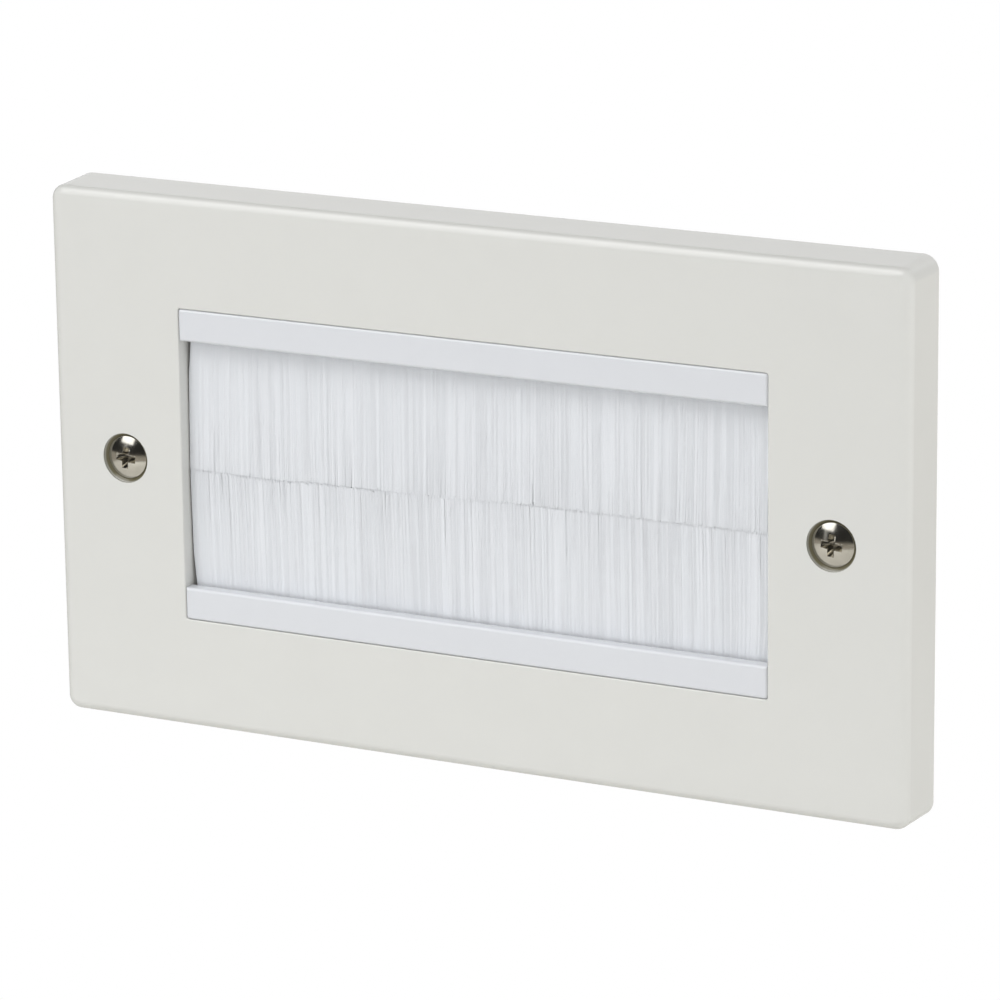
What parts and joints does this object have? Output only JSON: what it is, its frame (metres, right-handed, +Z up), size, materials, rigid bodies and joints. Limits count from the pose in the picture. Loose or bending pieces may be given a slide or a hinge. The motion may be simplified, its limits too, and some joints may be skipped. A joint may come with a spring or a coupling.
{
  "type": "brush cable entry plate",
  "caption": "Double-gang moulded wall plate with a wide aperture closed by facing strip brushes, so that cables pass through the wall behind soft filaments.",
  "frame": {"origin": "middle of the back rim, in the plane that meets the wall, halfway between the fixing screws", "axes": "+X along the plate's width, +Y from the room into the wall, +Z up"},
  "size_m": [0.146, 0.0308, 0.086],
  "materials": {
    "ivory_plastic": "moulded urea, satin gloss, ivory white",
    "white_plastic": "moulded, satin gloss, cool white",
    "galvanised_steel": "galvanised strip and wire",
    "nylon_filament": "drawn nylon filament, white",
    "nickel_plate": "bright nickel plate"
  },
  "bodies": {
    "root": {"faceplate": "ivory_plastic", "upper_brush_bar": "white_plastic", "lower_brush_bar": "white_plastic", "upper_strip_channel": "galvanised_steel", "lower_strip_channel": "galvanised_steel", "upper_core_wire": "galvanised_steel", "lower_core_wire": "galvanised_steel", "upper_bristles": "nylon_filament", "lower_bristles": "nylon_filament", "fixing_screws": "nickel_plate"}
  },
  "joints": []
}
